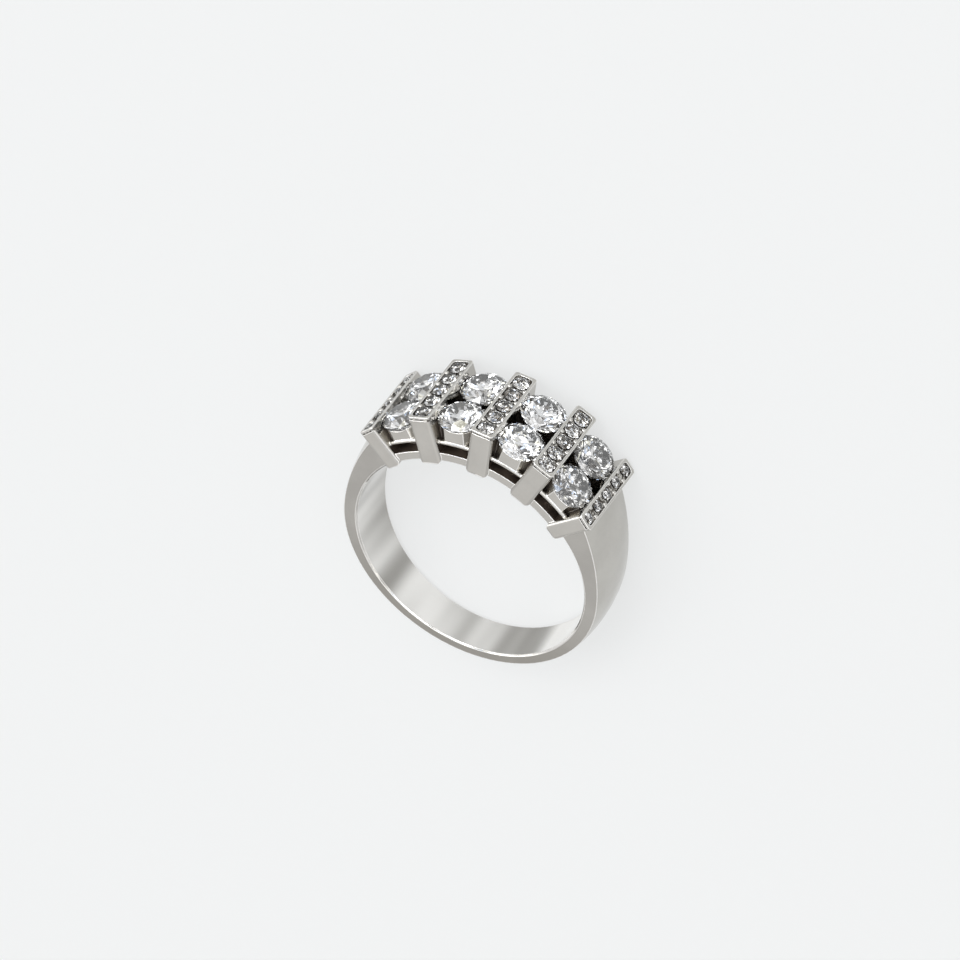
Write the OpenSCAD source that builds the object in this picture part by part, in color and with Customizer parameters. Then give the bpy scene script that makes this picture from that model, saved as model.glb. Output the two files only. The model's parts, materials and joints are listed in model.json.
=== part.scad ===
// A ring with five bars across its head. Each bar is set with a row of small
// stones, and each gap between two bars holds a pair of larger round stones.
// The ring lies on its side. Its head points to -Y, and the finger hole's
// centre is the origin.

/* [Finger hole] */
// Inner diameter of the ring
finger_d = 17; // [15:0.1:20]

/* [Main stones] */
// Girdle diameter of a main stone
main_d = 3.25; // [2.9:0.05:3.6]
// Gap between the two stones of a pair
pair_gap = 0.06; // [0.04:0.01:0.2]
// How far a main stone reaches into the bar on each side
main_tuck = 0.22; // [0.12:0.01:0.3]
// How far the tables of the inner pairs lie under the tops of the bars
table_drop = 0.2; // [0.05:0.01:0.4]
// How much lower the outer pairs sit than the inner ones
outer_drop = 0.25; // [0:0.01:0.4]

/* [Cut of the stones] */
// Width of the table as a share of the stone's diameter
table_share = 0.57; // [0.5:0.01:0.65]
// Height of the crown as a share of the stone's diameter
crown_share = 0.15; // [0.12:0.005:0.18]
// Thickness of the girdle as a share of the stone's diameter
girdle_share = 0.03; // [0.02:0.005:0.05]
// Depth of the pavilion as a share of the stone's diameter
pavilion_share = 0.43; // [0.4:0.005:0.46]
// Clearance between a stone and the metal round it
seat_gap = 0.03; // [0.02:0.005:0.06]

/* [Bars] */
// Height of the inner bars over the finger
bar_h = 3.7; // [3.4:0.05:4.5]
// How much lower the end bars are
end_bar_drop = 0.55; // [0.2:0.05:0.8]
// How far a bar reaches past the main stones at each end
bar_end = 0.12; // [0.05:0.01:0.4]
// Extra outward lean of the end bars, in degrees
end_lean = 3.5; // [0:0.5:8]
// Radius of the corners at the foot of a bar
foot_r = 0.45; // [0.2:0.05:0.55]
// How far the finger hole cuts into those corners
foot_cut = 0.03; // [0.02:0.01:0.1]
// Radius of a bar's four upright edges
edge_r = 0.24; // [0.05:0.01:0.3]
// Radius along the long edges of a bar's top
top_r = 0.06; // [0.03:0.01:0.1]
// Width of the line cut under the rim at each end of a bar
line_w = 0.12; // [0.05:0.01:0.14]
// Depth of that line
line_depth = 0.1; // [0.05:0.01:0.1]
// How far that line lies under the top of the bar
line_drop = 0.2; // [0.15:0.01:0.3]
// How far that line stops short of the bar's flanks
line_in = 0.2; // [0.15:0.01:0.3]

/* [Bar stones] */
// Stones in each bar
row_n = 5; // [3:1:6]
// Gap between two stones of the inner bars
row_gap = 0.12; // [0.1:0.01:0.2]
// How much smaller the stones of the end bars are
end_row_less = 0.35; // [0:0.05:0.5]
// Width of the rim round the channel of a bar
rim_w = 0.2; // [0.15:0.01:0.25]
// Depth of the channel
channel_depth = 0.16; // [0.14:0.01:0.3]
// Radius of the channel's corners
channel_r = 0.3; // [0.1:0.02:0.4]
// How far the girdles of the bar stones lie under the top of the rim
row_drop = 0.1; // [0.05:0.01:0.2]
// Diameter of the beads that hold the bar stones
bead_d = 0.34; // [0.2:0.01:0.36]
// How far a bead's middle lies in from the wall of the channel
bead_in = 0.08; // [0.04:0.01:0.1]
// How far a bead's middle lies under the top of the rim
bead_drop = 0.15; // [0.1:0.01:0.16]

/* [Shank] */
// Thickness in the middle of the shank at its bottom
shank_t = 0.81; // [0.6:0.05:1.6]
// Extra thickness in the middle of the shank at its sides
side_extra = 0.43; // [0.2:0.05:0.8]
// Radius of the shoulders, seen along the finger
shoulder_r = 16.5; // [14:0.5:20]
// Width of the shank at its bottom
shank_w = 3.02; // [2.4:0.05:4]
// Width of the shank at its shoulders
shoulder_w = 5.42; // [4.4:0.05:6]
// Radius of the domed outer face, seen across the shank
dome_r = 10; // [8:0.5:16]
// Width of the bevel along the shank's inner edges
bevel_w = 0.12; // [0.05:0.01:0.2]

/* [Gallery] */
// Thickness of the gallery's floor, measured away from the finger
floor_t = 0.6; // [0.4:0.05:0.8]
// How far that floor lies back from the finger
floor_lift = 0.22; // [0.1:0.01:0.4]
// How far that floor lies back from the ends of the bars
floor_back = 0.2; // [0.1:0.01:0.4]
// Diameter of the upper wire that the seats stand on
wire_d = 0.34; // [0.25:0.01:0.5]
// Height of that wire's middle over the finger
wire_h = 1.5; // [1.3:0.05:1.7]
// How far that wire lies back from the ends of the bars
wire_back = 0.38; // [0.2:0.01:0.6]
// Width of the flat front of a seat
seat_front_w = 1.4; // [1:0.05:1.6]
// How far a seat's front lies back from the ends of the bars
seat_back = 0.46; // [0.4:0.01:0.8]
// How far a seat is let into the bar on each side
seat_in = 0.1; // [0.05:0.01:0.2]
// Diameter of the light hole under each main stone
light_d = 1.1; // [0.8:0.1:1.2]

/* [Hidden] */
$fn = 96;
finger_r = finger_d / 2;
bar_top = finger_r + bar_h;
end_top = bar_top - end_bar_drop;
pair_z = (main_d + pair_gap) / 2;
bar_len = 2 * (pair_z + main_d / 2 + bar_end);

// A bar's stones fill its channel, and the bar is as wide as they need
row_d = (bar_len - 2 * (rim_w + seat_gap) - (row_n - 1) * row_gap) / row_n;
end_row_d = row_d - end_row_less;
bar_w = row_d + 2 * (rim_w + seat_gap);
end_bar_w = end_row_d + 2 * (rim_w + seat_gap);
girdle_h = girdle_share * main_d;
crown_h = crown_share * main_d;

// Radius of the inner and the outer pairs' girdles round the finger hole
inner_r = bar_top - table_drop - crown_h - girdle_h / 2;
outer_r = inner_r - outer_drop;

// Distance from a pair's middle to the flank of the bar beside it
reach = main_d / 2 - main_tuck;

// Angles round the finger hole, from the middle bar
bar_a = 2 * asin((bar_w / 2 + reach) / inner_r);
inner_a = bar_a / 2;
outer_a = bar_a + asin((bar_w / 2 + reach) / outer_r);
end_a = 2 * outer_a - bar_a + end_lean;

// An end bar's middle plane passes the finger hole's centre at this distance
end_x = reach + end_bar_w / 2 - outer_r * sin(end_a - outer_a);

// Each bar: angle, offset of its middle plane, width, height of its top, diameter of its stones
BARS = [
    [-end_a, -end_x, end_bar_w, end_top, end_row_d],
    [-bar_a, 0, bar_w, bar_top, row_d],
    [0, 0, bar_w, bar_top, row_d],
    [bar_a, 0, bar_w, bar_top, row_d],
    [end_a, end_x, end_bar_w, end_top, end_row_d],
];
// Each pair: angle and radius round the finger hole
PAIRS = [
    [-outer_a, outer_r],
    [-inner_a, inner_r],
    [inner_a, inner_r],
    [outer_a, outer_r],
];
main_n = 2 * len(PAIRS);
bar_stone_n = len(BARS) * row_n;

// The shank's outer face is a lower circle and two wider shoulder arcs that meet it at its sides
lower_y = -side_extra;
lower_r = finger_r + shank_t + side_extra;
half_w = shank_w / 2;
bottom_y = finger_r + shank_t;
foot_y = end_x * sin(end_a) - finger_r * cos(end_a);
shoulder_half_w = shoulder_w / 2;
taper = (shoulder_half_w - half_w) / (bottom_y - foot_y);
past = 3;
big = 2 * (bar_top + past);

// The ring rests on the feet of its end bars and on the edge of its shank
end_foot = corner(BARS[len(BARS) - 1], 1);
rest_y = (end_x + end_foot[0]) * sin(end_a) + end_foot[1] * cos(end_a) + foot_r;
edge_y = bottom_y - half_w * half_w / (2 * dome_r);
rest_tilt = atan((bar_len / 2 - half_w) / (edge_y - rest_y));

// Stones are turned a little from one to the next, as a setter leaves them
turn_step = 17;

// Facets of a round brilliant, as shares of its radius
facet_n = 8;
star_share = 0.79;
lower_share = 0.24;

// Points on a level circle of the stone
function level(n, r, z, turn) =
    [for (k = [0:n - 1]) let (a = 360 * k / n + turn) [r * cos(a), r * sin(a), z]];

// Heights of the tips of the star facets and of the lower facets, which keep the kites between them flat
function star_height(d) =
    let (share = (1 - star_share * cos(180 / facet_n)) / (1 - table_share))
    d * (girdle_share / 2 + crown_share * share);
function lower_height(d) =
    -d * (girdle_share / 2 + pavilion_share * (1 - lower_share * cos(180 / facet_n)));

// A round brilliant with its girdle at the origin and its table up
module brilliant(d) {
    r = d / 2;
    g = girdle_share * r;
    half = 180 / facet_n;
    n = facet_n;
    points = concat(
        level(n, r * table_share, g + crown_share * d, 0),
        level(n, r * star_share, star_height(d), half),
        level(2 * n, r, g, 0),
        level(2 * n, r, -g, 0),
        level(n, r * lower_share, lower_height(d), half),
        [[0, 0, -g - pavilion_share * d]]
    );
    star = n;
    top = 2 * n;
    bottom = 4 * n;
    low = 6 * n;
    culet = 7 * n;
    faces = concat(
        [[for (k = [n - 1:-1:0]) k]],
        [for (k = [0:n - 1]) [k, (k + 1) % n, star + k]],
        [for (k = [0:n - 1]) [k, star + k, top + 2 * k, star + (k + n - 1) % n]],
        [for (k = [0:n - 1]) [star + k, top + 2 * k + 1, top + 2 * k]],
        [for (k = [0:n - 1]) [star + k, top + (2 * k + 2) % (2 * n), top + 2 * k + 1]],
        [for (k = [0:2 * n - 1]) let (m = (k + 1) % (2 * n)) [top + k, top + m, bottom + m, bottom + k]],
        [for (k = [0:n - 1]) [low + k, bottom + 2 * k, bottom + 2 * k + 1]],
        [for (k = [0:n - 1]) [low + k, bottom + 2 * k + 1, bottom + (2 * k + 2) % (2 * n)]],
        [for (k = [0:n - 1]) [culet, low + (k + n - 1) % n, bottom + 2 * k, low + k]]
    );
    polyhedron(points, faces);
}

// A stone's widest outline from its table down to its culet, as radius and height
function outline(d) =
    let (r = d / 2, g = girdle_share * r)
    [
        [0, g + crown_share * d],
        [r * table_share, g + crown_share * d],
        [r * star_share, star_height(d)],
        [r, g],
        [r, -g],
        [r * lower_share, lower_height(d)],
        [0, -g - pavilion_share * d],
    ];

// Direction out of the outline, square to its stretch from p to q
function out(p, q) = [p[1] - q[1], q[0] - p[0]] / norm(q - p);

// Where a corner between two such directions goes, for the clearance on both its sides
function cleared(corner, m, n) = corner + seat_gap * (m + n) / (1 + m * n);

// The room that a stone takes, with the same clearance all round
module stone_room(d) {
    p = outline(d);
    last = len(p) - 1;
    rotate_extrude() polygon(concat(
        [p[0] + [0, seat_gap]],
        [for (i = [1:last - 1]) cleared(p[i], out(p[i - 1], p[i]), out(p[i], p[i + 1]))],
        [p[last] + [0, seat_gap / out(p[last - 1], p[last])[1]]]
    ));
}

// Places a stone's own frame at an angle and a distance from the finger hole's centre
module outward(angle, offset, distance, z) {
    rotate([0, 0, angle]) translate([offset, -distance, z]) rotate([90, 0, 0]) children();
}

// Main stones run in pairs, the first of each pair at the upper end of the bars
module at_main(i) {
    pair = PAIRS[floor(i / 2)];
    side = i % 2 == 0 ? 1 : -1;
    outward(pair[0], 0, pair[1], side * pair_z) rotate([0, 0, turn_step * i]) children();
}

// Distance of a bar's end stones from its middle
function row_reach(d) = bar_len / 2 - rim_w - seat_gap - d / 2;

// Middle of the round corner at a bar's foot, which the finger hole's wall cuts into
function corner(bar, side) =
    let (x = side * (bar[2] / 2 - foot_r), from = bar[1] + x)
    [x, foot_cut - foot_r - sqrt(finger_r * finger_r - from * from)];

module at_bar_stone(i) {
    bar = BARS[floor(i / row_n)];
    k = i % row_n;
    d = bar[4];
    z = row_reach(d) * (1 - 2 * k / (row_n - 1));
    outward(bar[0], bar[1], bar[3] - row_drop, z) rotate([0, 0, turn_step * i]) children();
}

// A rectangle with round corners, made of squares and circles so that its arcs stay true
module round_rectangle(w, h, r) {
    square([w, h - 2 * r], center = true);
    square([w - 2 * r, h], center = true);
    for (x = [-1, 1], y = [-1, 1]) translate([x * (w / 2 - r), y * (h / 2 - r)]) circle(r);
}

// One bar with its middle plane on the Y axis, before its channel is cut
module bar_body(bar) {
    w = bar[2];
    top = bar[3];
    intersection() {
        linear_extrude(bar_len, center = true) union() {
            translate([foot_r - w / 2, top_r - top]) square([w - 2 * foot_r, top]);
            translate([top_r - w / 2, -top]) square([w - 2 * top_r, 2 * top_r]);
            for (side = [-1, 1]) {
                foot = corner(bar, side);
                translate(foot) circle(foot_r);
                translate([min(0, side * w / 2), top_r - top]) square([w / 2, foot[1] + top - top_r]);
                translate([side * (w / 2 - top_r), top_r - top]) circle(top_r);
            }
        }
        translate([0, past, 0]) rotate([90, 0, 0]) linear_extrude(big) round_rectangle(w, bar_len, edge_r);
    }
}

module bar_cuts(bar) {
    w = bar[2];
    top = bar[3];
    inner_w = w - 2 * rim_w;
    inner_len = bar_len - 2 * rim_w;
    translate([0, channel_depth - top, 0]) rotate([90, 0, 0])
        linear_extrude(past) round_rectangle(inner_w, inner_len, channel_r);
    for (end = [-1, 1])
        translate([0, line_drop - top, end * bar_len / 2])
            cube([w - 2 * line_in, line_w, 2 * line_depth], center = true);
}

// The beads of metal that hold a bar's stones, two between each pair of them
module beads(bar) {
    pitch = 2 * row_reach(bar[4]) / (row_n - 1);
    for (side = [-1, 1], k = [0:row_n - 2])
        translate([side * (bar[2] / 2 - rim_w - bead_in), bead_drop - bar[3], (k - row_n / 2 + 1) * pitch])
            sphere(d = bead_d);
}

// The wedge between the middle planes of the end bars
module head_sector() {
    apex = end_x / sin(end_a);
    polygon([
        [0, apex],
        [big * sin(end_a), apex - big * cos(end_a)],
        [-big * sin(end_a), apex - big * cos(end_a)],
    ]);
}

// A disc with a domed rim
module domed_disc(r) {
    rotate_extrude() intersection() {
        translate([r - dome_r, 0]) circle(dome_r);
        translate([0, -shoulder_w]) square([r + past, 2 * shoulder_w]);
    }
}

module shank_body() {
    difference() {
        union() {
            intersection() {
                translate([0, lower_y, 0]) domed_disc(lower_r);
                translate([-big / 2, lower_y, -big / 2]) cube(big);
            }
            intersection() {
                shoulders();
                translate([-big / 2, lower_y - big, -big / 2]) cube(big);
            }
        }
        linear_extrude(big, center = true) head_sector();
    }
}

// Each shoulder is a part of a disc whose rim meets the lower circle at that side
module shoulders() {
    intersection() {
        translate([lower_r - shoulder_r, lower_y, 0]) domed_disc(shoulder_r);
        translate([shoulder_r - lower_r, lower_y, 0]) domed_disc(shoulder_r);
    }
}

// The two side planes, which come together towards the bottom of the shank
module side_planes() {
    near = half_w - taper * past;
    far = shoulder_half_w + taper * past;
    rotate([90, 0, 90]) linear_extrude(big, center = true) polygon([
        [bottom_y + past, -near],
        [bottom_y + past, near],
        [foot_y - past, far],
        [foot_y - past, -far],
    ]);
}

// Cones square to the side planes, which bevel the shank's inner edges
module inner_bevels() {
    for (flip = [0, 1])
        mirror([0, 0, flip]) translate([0, 0, half_w + taper * bottom_y]) rotate([-atan(taper), 0, 0])
            cylinder(r1 = finger_r - bevel_w, r2 = finger_r + 3 * bevel_w, h = 4 * bevel_w, center = true);
}

module shank() {
    difference() {
        intersection() {
            shank_body();
            side_planes();
        }
        inner_bevels();
    }
}

// The gallery's floor runs from one end bar to the other, just over the finger
module gallery_floor() {
    inner = finger_r + floor_lift;
    linear_extrude(bar_len - 2 * floor_back, center = true) intersection() {
        difference() {
            circle(inner + floor_t);
            circle(inner);
        }
        head_sector();
    }
}

// The upper wires, between the middle planes of the end bars
module wires() {
    r = finger_r + wire_h;
    intersection() {
        for (side = [-1, 1])
            translate([0, 0, side * (bar_len / 2 - wire_back - wire_d / 2)])
                rotate_extrude() translate([r, 0]) circle(wire_d / 2);
        linear_extrude(big, center = true) head_sector();
    }
}

// The block under a main stone, with a flat front and bevelled corners
module seat(pair, side) {
    base = finger_r + wire_h - wire_d / 4;
    front = bar_len / 2 - seat_back - pair_z;
    a = seat_front_w / 2;
    b = reach - (pair[1] - base) * tan(inner_a) / 2 + seat_in;
    c = front - (b - a);
    outward(pair[0], 0, base, side * pair_z) linear_extrude(pair[1] - base)
        polygon([[-a, -front], [a, -front], [b, -c], [b, c], [a, front], [-a, front], [-b, c], [-b, -c]]);
}

// The hole that lets light in under a main stone, from its girdle down into the finger hole
module light_hole() {
    mirror([0, 0, 1]) cylinder(d = light_d, h = inner_r - finger_r + past);
}

// Places a bar's own frame, with its middle plane on the Y axis
module at_bar(bar) {
    rotate([0, 0, bar[0]]) translate([bar[1], 0, 0]) children();
}

module band_metal() {
    shank();
    for (bar = BARS) at_bar(bar) bar_body(bar);
    gallery_floor();
    wires();
    for (pair = PAIRS, side = [-1, 1]) seat(pair, side);
}

module band() {
    color("silver") lying() {
        difference() {
            band_metal();
            cylinder(r = finger_r, h = big, center = true);
            for (bar = BARS) at_bar(bar) bar_cuts(bar);
            for (i = [0:main_n - 1]) at_main(i) {
                stone_room(main_d);
                light_hole();
            }
            for (i = [0:bar_stone_n - 1]) at_bar_stone(i) stone_room(BARS[floor(i / row_n)][4]);
        }
        for (bar = BARS) at_bar(bar) beads(bar);
    }
}

module main_stone(i) {
    color("azure") lying() at_main(i) brilliant(main_d);
}

module bar_stone(i) {
    color("aliceblue") lying() at_bar_stone(i) brilliant(BARS[floor(i / row_n)][4]);
}

// Tips the ring to the slope at which it lies by itself
module lying() {
    rotate([-rest_tilt, 0, 0]) children();
}

band();
for (i = [0:main_n - 1]) main_stone(i);
for (i = [0:bar_stone_n - 1]) bar_stone(i);
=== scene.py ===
import json
import math

import bpy
from mathutils import Matrix, Vector


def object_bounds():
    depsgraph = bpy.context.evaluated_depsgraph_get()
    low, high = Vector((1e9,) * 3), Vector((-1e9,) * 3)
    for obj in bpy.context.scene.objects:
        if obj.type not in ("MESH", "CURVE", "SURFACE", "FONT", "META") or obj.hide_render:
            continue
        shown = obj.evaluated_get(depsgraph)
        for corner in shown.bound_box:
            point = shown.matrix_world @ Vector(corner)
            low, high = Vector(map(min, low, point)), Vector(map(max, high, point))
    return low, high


MM = 0.001
WHITE = (1.0, 1.0, 1.0, 1.0)

# Stretch that keeps X and Y and drops Z
FLAT = (1.0, 1.0, 0.0)

# The photograph's camera, fitted to the ring's outlines and corners
CAMERA_AZIMUTH = -24.2
CAMERA_ELEVATION = 50.0
CAMERA_ROLL = 138.1
CAMERA_DISTANCE = 0.6033
CAMERA_AIM = Vector((1.73, -3.05, -1.74)) * MM
CAMERA_LENS = 337.5
CAMERA_SENSOR = 36.0
CAMERA_NEAR = 0.01
CAMERA_FAR = 10.0

# Each noise is given by its grain and its detail, and each spread by the values that it is graded between

# White gold between two close tones
GOLD_DARK = (0.495, 0.48, 0.45, 1.0)
GOLD_LIGHT = (0.54, 0.524, 0.492, 1.0)
GOLD_NOISE = (420.0, 3.0)
GOLD_SPREAD = (0.3, 0.7)

# Painted highlight along the edges, brighter where rounding turns the surface; its spread is the cosine
# between the rounded and the flat normal
GOLD_EDGE_HIGHLIGHT = (1.0, 0.985, 0.96, 1.0)
EDGE_RADIUS = 0.09 * MM
EDGE_SAMPLES = 6
EDGE_SPREAD = (0.999, 0.97)

# Painted shade in crevices, dark where little of the surroundings shows; crevices, which a polishing mop
# can't reach, are also duller
GOLD_CREVICE_SHADE = (0.24, 0.215, 0.19, 1.0)
CREVICE_REACH = 0.9 * MM
CREVICE_SAMPLES = 8
CREVICE_SPREAD = (0.12, 0.50)
CREVICE_DULL = 0.30

# Painted shade on the gallery under the main stones, which is also duller, measured out from the finger,
# from mid width and round the ring
GOLD_GALLERY_SHADE = (0.16, 0.125, 0.10, 1.0)
GALLERY_FROM = 0.45 * MM
GALLERY_FADE = (1.25 * MM, 1.50 * MM)
GALLERY_HALF = 3.17 * MM
GALLERY_ANGLE = 43.0
GALLERY_DULL = 0.40

# Painted shade, speckled with light gold, on the floors of the bars' channels, measured out from the finger;
# the end bars are lower
GOLD_CHANNEL_SHADE = (0.07, 0.06, 0.05, 1.0)
CHANNEL_NOISE = (5200.0, 1.0)
CHANNEL_SPREAD = (0.42, 0.62)
CHANNEL_SPAN = (3.50 * MM, 3.62 * MM)
END_CHANNEL_SPAN = (2.95 * MM, 3.07 * MM)
END_BAR_ANGLE = 48.7

# How squarely a channel's floor faces out from the finger, as a cosine
FACING_OUT = 0.7

# Painted shade in the lines cut under the bars' rims, measured out from the finger and, for their depth,
# from mid width
LINE_SPAN = (3.43 * MM, 3.57 * MM)
END_LINE_SPAN = (2.88 * MM, 3.02 * MM)
LINE_DEPTH_SPAN = (3.26 * MM, 3.39 * MM)

# Painted reflections on the inner face: soft light and dark streaks, which run along its width and are slid
# round it
GOLD_SHADE = (0.34, 0.33, 0.31, 1.0)
GOLD_SHINE = (1.0, 0.985, 0.96, 1.0)
INNER_TO = 0.08 * MM
STREAKS_STRENGTH = 0.9
STREAKS_STRETCH = (0.0, 1.0, 0.15)
STREAKS_SLIDE = (0.0, 6.0 * MM, 0.0)
STREAKS_NOISE = (170.0, 2.0)
STREAKS_SPREAD = (0.38, 0.62)

# Darker towards the bottom of the shank, away from the head
LOWER_TONE = (0.80, 0.79, 0.77, 1.0)
LOWER_SPAN = (0.0 * MM, 8.5 * MM)

# The polish: haze in the roughness, faint waves, and hairs that run round the ring
HAZE_NOISE = (1400.0, 4.0)
HAZE_SPREAD = (0.3, 0.7)
HAZE_ROUGHNESS = (0.09, 0.16)
WAVES_NOISE = (330.0, 1.0)
WAVES_HEIGHT = 0.02 * MM
WAVES_STRENGTH = 0.27
HAIRS_NOISE = (14000.0, 2.0)
HAIRS_STRETCH = (1.0, 0.04, 1.0)
HAIRS_HEIGHT = 0.0015 * MM
HAIRS_STRENGTH = 0.25

DIAMOND_IOR = 2.417

# Painted dark facet reflections in the main stones, as specks, dark at the ring's -X end and nearly clear
# elsewhere
MAIN_REFLECTION_SPECK = (0.88, 0.89, 0.91, 1.0)
MAIN_END_REFLECTION_SPECK = (0.03, 0.028, 0.025, 1.0)
MAIN_NOISE = (2200.0, 1.0)
MAIN_SPREAD = (0.45, 0.53)
MAIN_GLARE = WHITE
END_SPAN = (-6.5 * MM, -3.5 * MM)

# Painted dark facet reflections in the bar stones, as specks, dark all along, and a surface that mirrors
# less
BAR_REFLECTION_SPECK = (0.012, 0.009, 0.006, 1.0)
BAR_NOISE = (4200.0, 1.0)
BAR_SPREAD = (0.43, 0.49)
BAR_GLARE = (0.45, 0.45, 0.45, 1.0)

# The floor's own light keeps shadows on it faint
FLOOR_HALF = 1.5
FLOOR_TONE = (0.14, 0.142, 0.142, 1.0)
FLOOR_ROUGHNESS = 0.9
FLOOR_LIGHT = (0.99, 1.0, 1.0, 1.0)
FLOOR_GLOW = 0.68

# Tones of the surroundings from the horizon up
SKY = [(0.0, 0.82), (0.2, 0.78), (0.36, 0.70), (0.48, 0.76), (0.60, 0.94), (1.0, 1.12)]

# Light and dark panels before and above the head, brighter towards +X, graded by direction
PANEL_SCALE = 9.0
PANEL_LIGHT = 3.6
PANEL_CONTRAST = 1.1
PANEL_SIDES = (-0.8, 0.6)
PANEL_SIDE_LIGHT = (0.6, 1.25)
PANEL_BEFORE = (0.35, 0.05)
PANEL_ABOVE = (0.30, 0.42)

# Some panels are cool and some warm, by the draw of each
PANEL_COOL = (0.56, 0.72, 1.0, 1.0)
PANEL_COOL_DRAWS = (0.0, 0.2)
PANEL_WARM = (1.0, 0.98, 0.82, 1.0)
PANEL_WARM_DRAWS = (0.85, 1.0)

# Each light's name, azimuth and elevation in degrees, distance and size in metres, and power in watts
LIGHTS = [
    ("key", 23.0, 48.0, 0.50, (0.18, 0.18), 0.40),
    ("side", -75.0, 50.0, 0.45, (0.30, 0.30), 0.11),
    ("fill", 90.0, 45.0, 0.50, (0.35, 0.25), 0.34),
]

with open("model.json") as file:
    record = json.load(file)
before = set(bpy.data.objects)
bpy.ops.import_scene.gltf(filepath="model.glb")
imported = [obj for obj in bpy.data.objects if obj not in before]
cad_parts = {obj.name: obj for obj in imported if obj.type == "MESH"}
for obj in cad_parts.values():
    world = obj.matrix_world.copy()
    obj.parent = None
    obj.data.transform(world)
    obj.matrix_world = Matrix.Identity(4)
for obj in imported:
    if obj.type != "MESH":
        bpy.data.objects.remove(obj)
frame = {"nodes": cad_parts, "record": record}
cad_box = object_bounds()


class Graph:
    """The nodes of one material or world."""

    def __init__(self, tree):
        self.nodes = tree.nodes
        self.links = tree.links

    def node(self, kind, inputs=None, **settings):
        """A new node; each input is a plain value or another node's output."""
        node = self.nodes.new(kind)
        for name, value in settings.items():
            setattr(node, name, value)
        for name, value in (inputs or {}).items():
            self.feed(node.inputs[name], value)
        return node

    def feed(self, socket, value):
        if isinstance(value, bpy.types.NodeSocket):
            self.links.new(value, socket)
        else:
            socket.default_value = value

    def coordinates(self, output):
        return self.node("ShaderNodeTexCoord").outputs[output]

    def normal(self):
        return self.node("ShaderNodeNewGeometry").outputs["Normal"]

    def rounded_normal(self, radius, samples):
        return self.node("ShaderNodeBevel", {"Radius": radius}, samples=samples).outputs["Normal"]

    def openness(self, distance, samples):
        """1 where nothing lies within distance, 0 deep in a crevice."""
        node = self.node("ShaderNodeAmbientOcclusion", {"Distance": distance}, samples=samples)
        return node.outputs["AO"]

    def axes(self, vector):
        return self.node("ShaderNodeSeparateXYZ", {"Vector": vector}).outputs

    def vector(self, x, y, z=0.0):
        return self.node("ShaderNodeCombineXYZ", {"X": x, "Y": y, "Z": z}).outputs["Vector"]

    def noise(self, vector, grain, detail):
        values = {"Vector": vector, "Scale": grain, "Detail": detail}
        return self.node("ShaderNodeTexNoise", values).outputs["Fac"]

    def grade(self, value, start, end, low=0.0, high=1.0):
        """Takes value from start..end to low..high, smoothly and no further."""
        values = {"Value": value, "From Min": start, "From Max": end, "To Min": low, "To Max": high}
        return self.node("ShaderNodeMapRange", values, interpolation_type="SMOOTHSTEP").outputs["Result"]

    def mix(self, factor, first, second, blend="MIX"):
        values = {"Fac": factor, "Color1": first, "Color2": second}
        return self.node("ShaderNodeMixRGB", values, blend_type=blend).outputs["Color"]

    def maths(self, operation, first, second=0.0):
        node = self.node("ShaderNodeMath", operation=operation)
        self.feed(node.inputs[0], first)
        self.feed(node.inputs[1], second)
        return node.outputs["Value"]

    def vector_maths(self, operation, first, second=None, output="Vector"):
        node = self.node("ShaderNodeVectorMath", operation=operation)
        self.feed(node.inputs[0], first)
        if second is not None:
            self.feed(node.inputs[1], second)
        return node.outputs[output]

    def between(self, value, low, high):
        """1 where value lies between low and high, 0 elsewhere."""
        above = self.maths("GREATER_THAN", value, low)
        return self.maths("MULTIPLY", above, self.maths("LESS_THAN", value, high))

    def stretched(self, vector, scale):
        return self.node("ShaderNodeMapping", {"Vector": vector, "Scale": scale}).outputs["Vector"]

    def turned(self, vector, rotation):
        return self.node("ShaderNodeMapping", {"Vector": vector, "Rotation": rotation}).outputs["Vector"]

    def bump(self, height, distance, strength, normal):
        values = {"Height": height, "Distance": distance, "Strength": strength, "Normal": normal}
        return self.node("ShaderNodeBump", values).outputs["Normal"]

    def greys(self, value, stops):
        """A colour ramp of plain greys."""
        node = self.node("ShaderNodeValToRGB", {"Fac": value})
        elements = node.color_ramp.elements
        while len(elements) < len(stops):
            elements.new(0.5)
        for element, (place, tone) in zip(elements, stops):
            element.position = place
            element.color = (tone, tone, tone, 1.0)
        return node.outputs["Color"]


def new_material(name):
    material = bpy.data.materials.new(name)
    material.use_nodes = True
    return material, Graph(material.node_tree), material.node_tree.nodes["Principled BSDF"]


def ring_coordinates(graph, place):
    """Coordinates with Z along the finger hole's axis, and the distance from it and from the finger.

    Its lines have the distance from the axis, the way round it and the height along it, for what runs round.
    """
    bore = frame["record"]["mounts"][0]
    finger = bore["dims"]["r_mm"] * MM
    tilt = math.atan2(bore["axis"][1], bore["axis"][2])
    axes = graph.axes(graph.turned(place, (tilt, 0.0, 0.0)))
    radius = graph.vector_maths("LENGTH", graph.vector(axes["X"], axes["Y"]), output="Value")
    way_round = graph.maths("MULTIPLY", graph.maths("ARCTAN2", axes["X"], axes["Y"]), finger)
    return {
        "x": axes["X"],
        "y": axes["Y"],
        "z": axes["Z"],
        "radius": radius,
        "finger": finger,
        "out": graph.maths("SUBTRACT", radius, finger),
        "lines": graph.vector(radius, way_round, axes["Z"]),
    }


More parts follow.
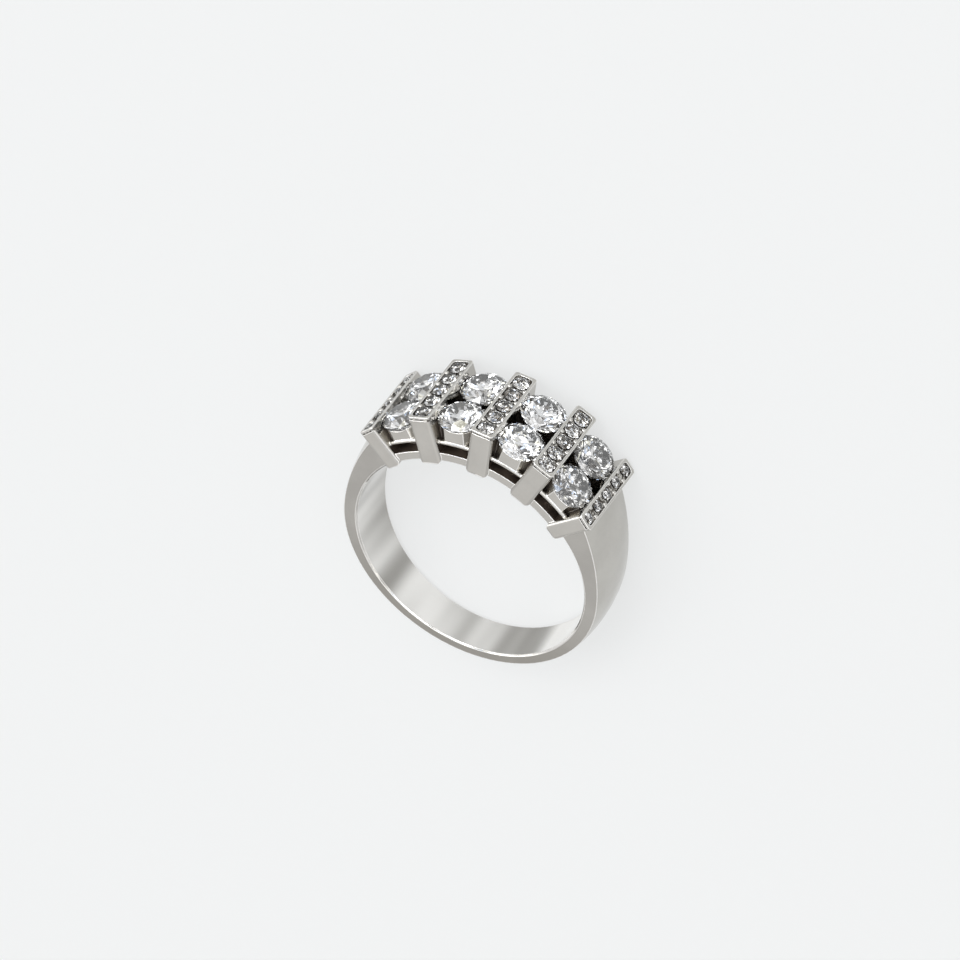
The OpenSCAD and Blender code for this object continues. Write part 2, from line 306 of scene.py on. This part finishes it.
def gallery_shade_mask(graph, ring):
    """Where shade is painted: 1 on the gallery's floor and on the feet of the bars beside it, 0 elsewhere.
    """
    above = graph.maths("GREATER_THAN", ring["out"], GALLERY_FROM)
    below = graph.grade(ring["out"], *GALLERY_FADE, 1.0, 0.0)
    inside = graph.maths("LESS_THAN", graph.maths("ABSOLUTE", ring["z"]), GALLERY_HALF)
    edge = graph.maths("MULTIPLY", ring["radius"], -math.cos(math.radians(GALLERY_ANGLE)))
    head = graph.maths("LESS_THAN", ring["y"], edge)
    level = graph.maths("MULTIPLY", above, below)
    return graph.maths("MULTIPLY", level, graph.maths("MULTIPLY", inside, head))


def end_bar_height(graph, ring):
    """Height over the finger along the middle plane of the end bar on the same side."""
    angle = math.radians(END_BAR_ANGLE)
    sideways = graph.maths("MULTIPLY", graph.maths("ABSOLUTE", ring["x"]), math.sin(angle))
    height = graph.maths("SUBTRACT", sideways, graph.maths("MULTIPLY", ring["y"], math.cos(angle)))
    return graph.maths("SUBTRACT", height, ring["finger"])


def channel_shade_mask(graph, place, ring):
    """Where shade is painted: 1 on the floors of the bars' channels and in the lines cut in their ends, 0
    elsewhere.
    """
    straight_out = graph.vector_maths("NORMALIZE", graph.stretched(place, FLAT))
    squareness = graph.vector_maths("DOT_PRODUCT", straight_out, graph.normal(), "Value")
    facing = graph.maths("GREATER_THAN", squareness, FACING_OUT)
    end_out = end_bar_height(graph, ring)

    channel = graph.between(ring["out"], *CHANNEL_SPAN)
    end_channel = graph.between(end_out, *END_CHANNEL_SPAN)
    floors = graph.maths("MULTIPLY", facing, graph.maths("MAXIMUM", channel, end_channel))

    line = graph.between(ring["out"], *LINE_SPAN)
    end_line = graph.between(end_out, *END_LINE_SPAN)
    cut = graph.between(graph.maths("ABSOLUTE", ring["z"]), *LINE_DEPTH_SPAN)
    lines = graph.maths("MULTIPLY", cut, graph.maths("MAXIMUM", line, end_line))
    return graph.maths("MAXIMUM", floors, lines)


def edge_mask(graph, rounded):
    """1 where rounding turns the surface away from its flat normal, as along an edge."""
    return graph.grade(graph.vector_maths("DOT_PRODUCT", rounded, graph.normal(), "Value"), *EDGE_SPREAD)


def with_painted_reflections(graph, ring, clean):
    """Adds the inner face's painted reflections, as soft light and dark streaks."""
    inner = graph.maths("MULTIPLY", graph.maths("LESS_THAN", ring["out"], INNER_TO), STREAKS_STRENGTH)
    slid = graph.vector_maths("ADD", graph.stretched(ring["lines"], STREAKS_STRETCH), STREAKS_SLIDE)
    reflections = graph.grade(graph.noise(slid, *STREAKS_NOISE), *STREAKS_SPREAD)
    return graph.mix(inner, clean, graph.mix(reflections, GOLD_SHADE, GOLD_SHINE))


def white_gold():
    """Polished, rhodium-plated white gold, dull in its crevices, with painted shade in its crevices, gallery
    and channels, painted highlights on its edges, painted reflections on its inner face, and darker towards
    the shank's bottom.
    """
    material, graph, shader = new_material("white_gold")
    place = graph.coordinates("Object")
    ring = ring_coordinates(graph, place)
    rounded = graph.rounded_normal(EDGE_RADIUS, EDGE_SAMPLES)
    openness = graph.openness(CREVICE_REACH, CREVICE_SAMPLES)
    crevice_shade = graph.grade(openness, *CREVICE_SPREAD, 1.0, 0.0)
    gallery_shade = gallery_shade_mask(graph, ring)

    clean = graph.mix(graph.grade(graph.noise(place, *GOLD_NOISE), *GOLD_SPREAD), GOLD_DARK, GOLD_LIGHT)
    # Darker towards the bottom of the shank
    lower_darkening = graph.mix(graph.grade(ring["y"], *LOWER_SPAN), WHITE, LOWER_TONE)
    # Painted reflections on the inner face, as light and dark streaks
    clean = with_painted_reflections(graph, ring, graph.mix(1.0, clean, lower_darkening, "MULTIPLY"))
    # Painted highlight: the edges are lightened to a near-white gold
    edge_highlighted = graph.mix(edge_mask(graph, rounded), clean, GOLD_EDGE_HIGHLIGHT)
    # Painted shade: crevices are darkened by their ambient occlusion
    shaded_gold = graph.mix(crevice_shade, edge_highlighted, GOLD_CREVICE_SHADE)
    # Painted shade, speckled with light gold, on the channels' floors and in the lines under the rims
    speckles = graph.grade(graph.noise(place, *CHANNEL_NOISE), *CHANNEL_SPREAD)
    speckled_shade = graph.mix(speckles, GOLD_CHANNEL_SHADE, GOLD_LIGHT)
    shaded_gold = graph.mix(channel_shade_mask(graph, place, ring), shaded_gold, speckled_shade)
    # Painted shade: the gallery under the main stones is darkened to a dark brown
    graph.feed(shader.inputs["Base Color"], graph.mix(gallery_shade, shaded_gold, GOLD_GALLERY_SHADE))

    haze = graph.grade(graph.noise(place, *HAZE_NOISE), *HAZE_SPREAD, *HAZE_ROUGHNESS)
    crevice_dull = graph.maths("MULTIPLY", crevice_shade, CREVICE_DULL)
    gallery_dull = graph.maths("MULTIPLY", gallery_shade, GALLERY_DULL)
    dull = graph.maths("MAXIMUM", crevice_dull, gallery_dull)
    graph.feed(shader.inputs["Roughness"], graph.maths("ADD", haze, dull))
    shader.inputs["Metallic"].default_value = 1.0

    waves = graph.bump(graph.noise(place, *WAVES_NOISE), WAVES_HEIGHT, WAVES_STRENGTH, rounded)
    hairs = graph.noise(graph.stretched(ring["lines"], HAIRS_STRETCH), *HAIRS_NOISE)
    graph.feed(shader.inputs["Normal"], graph.bump(hairs, HAIRS_HEIGHT, HAIRS_STRENGTH, waves))
    return material


def diamond(name, reflection_speck, end_reflection_speck, noise, spread, glare):
    """Brilliant with the high index that gives its sparkle, and painted dark facet reflections, as specks,
    whose tone differs at the -X end.
    """
    material, graph, shader = new_material(name)
    place = graph.coordinates("Object")
    clear = graph.grade(graph.noise(place, *noise), *spread)
    # Painted reflections: specks of a darker tone stand in for the stone's dark facets
    reflection_specks = graph.mix(graph.grade(graph.axes(place)["X"], *END_SPAN), end_reflection_speck, reflection_speck)
    graph.feed(shader.inputs["Base Color"], graph.mix(clear, reflection_specks, WHITE))
    shader.inputs["Roughness"].default_value = 0.0
    shader.inputs["IOR"].default_value = DIAMOND_IOR
    shader.inputs["Specular Tint"].default_value = glare
    shader.inputs["Transmission Weight"].default_value = 1.0
    return material


def paint(obj, material):
    obj.data.materials.clear()
    obj.data.materials.append(material)


def paint_ring():
    metal = white_gold()
    main_diamond = diamond("main_diamond", MAIN_REFLECTION_SPECK, MAIN_END_REFLECTION_SPECK, MAIN_NOISE, MAIN_SPREAD, MAIN_GLARE)
    bar_diamond = diamond("bar_diamond", BAR_REFLECTION_SPECK, BAR_REFLECTION_SPECK, BAR_NOISE, BAR_SPREAD, BAR_GLARE)
    for name, obj in frame["nodes"].items():
        if name == "band":
            paint(obj, metal)
        elif name.startswith("main_stone"):
            paint(obj, main_diamond)
        else:
            paint(obj, bar_diamond)


def look_from(direction, roll):
    """Rotation of a camera or light that looks against direction, rolled about its axis."""
    back = direction.normalized()
    right = Vector((0.0, 0.0, 1.0)).cross(back).normalized()
    up = back.cross(right)
    turn = Matrix.Rotation(math.radians(-roll), 3, "Z")
    return Matrix((right, up, back)).transposed() @ turn


def towards(azimuth, elevation):
    """Unit direction; azimuth 0 is seen looking along +Y, and it grows towards +X."""
    a, e = math.radians(azimuth), math.radians(elevation)
    return Vector((math.sin(a) * math.cos(e), -math.cos(a) * math.cos(e), math.sin(e)))


def new_object(name, data):
    obj = bpy.data.objects.new(name, data)
    bpy.context.scene.collection.objects.link(obj)
    return obj


def add_camera():
    data = bpy.data.cameras.new("camera")
    data.lens = CAMERA_LENS
    data.sensor_width = CAMERA_SENSOR
    data.clip_start = CAMERA_NEAR
    data.clip_end = CAMERA_FAR
    camera = new_object("camera", data)
    direction = towards(CAMERA_AZIMUTH, CAMERA_ELEVATION)
    spot = CAMERA_AIM + direction * CAMERA_DISTANCE
    camera.matrix_world = Matrix.Translation(spot) @ look_from(direction, CAMERA_ROLL).to_4x4()
    bpy.context.scene.camera = camera


def add_light(name, azimuth, elevation, distance, size, power):
    data = bpy.data.lights.new(name, "AREA")
    data.shape = "RECTANGLE"
    data.size, data.size_y = size
    data.energy = power
    light = new_object(name, data)
    direction = towards(azimuth, elevation)
    light.matrix_world = Matrix.Translation(direction * distance) @ look_from(direction, 0.0).to_4x4()


def add_floor():
    half = FLOOR_HALF
    bottom = cad_box[0][2]
    mesh = bpy.data.meshes.new("floor")
    corners = [(-half, -half, bottom), (half, -half, bottom), (half, half, bottom), (-half, half, bottom)]
    mesh.from_pydata(corners, [], [(0, 1, 2, 3)])
    floor = new_object("floor", mesh)
    material, _, shader = new_material("floor")
    shader.inputs["Base Color"].default_value = FLOOR_TONE
    shader.inputs["Roughness"].default_value = FLOOR_ROUGHNESS
    shader.inputs["Specular IOR Level"].default_value = 0.0
    shader.inputs["Emission Color"].default_value = FLOOR_LIGHT
    shader.inputs["Emission Strength"].default_value = FLOOR_GLOW
    mesh.materials.append(material)


def add_world():
    """Plain surroundings, with light and dark panels before the head for its stones to show."""
    world = bpy.data.worlds.new("studio")
    bpy.context.scene.world = world
    world.use_nodes = True
    graph = Graph(world.node_tree)
    direction = graph.coordinates("Generated")
    axes = graph.axes(direction)
    panels = graph.node("ShaderNodeTexVoronoi", {"Vector": direction, "Scale": PANEL_SCALE}).outputs["Color"]
    draws = graph.node("ShaderNodeSeparateColor", {"Color": panels}).outputs

    brightness = graph.maths("MULTIPLY", graph.maths("POWER", draws["Red"], PANEL_CONTRAST), PANEL_LIGHT)
    side_light = graph.grade(axes["X"], *PANEL_SIDES, *PANEL_SIDE_LIGHT)
    brightness = graph.maths("MULTIPLY", brightness, side_light)
    tint = graph.mix(graph.grade(draws["Green"], *PANEL_COOL_DRAWS), PANEL_COOL, WHITE)
    tint = graph.mix(graph.grade(draws["Green"], *PANEL_WARM_DRAWS), tint, PANEL_WARM)
    values = {"Vector": tint, "Scale": brightness}
    lit = graph.node("ShaderNodeVectorMath", values, operation="SCALE").outputs["Vector"]

    before = graph.grade(axes["Y"], *PANEL_BEFORE)
    above = graph.grade(axes["Z"], *PANEL_ABOVE)
    reach = graph.maths("MULTIPLY", before, above)
    background = world.node_tree.nodes["Background"]
    graph.feed(background.inputs["Color"], graph.mix(reach, graph.greys(axes["Z"], SKY), lit))


paint_ring()
add_camera()
add_floor()
add_world()
for values in LIGHTS:
    add_light(*values)
bpy.context.scene.view_settings.view_transform = "Standard"
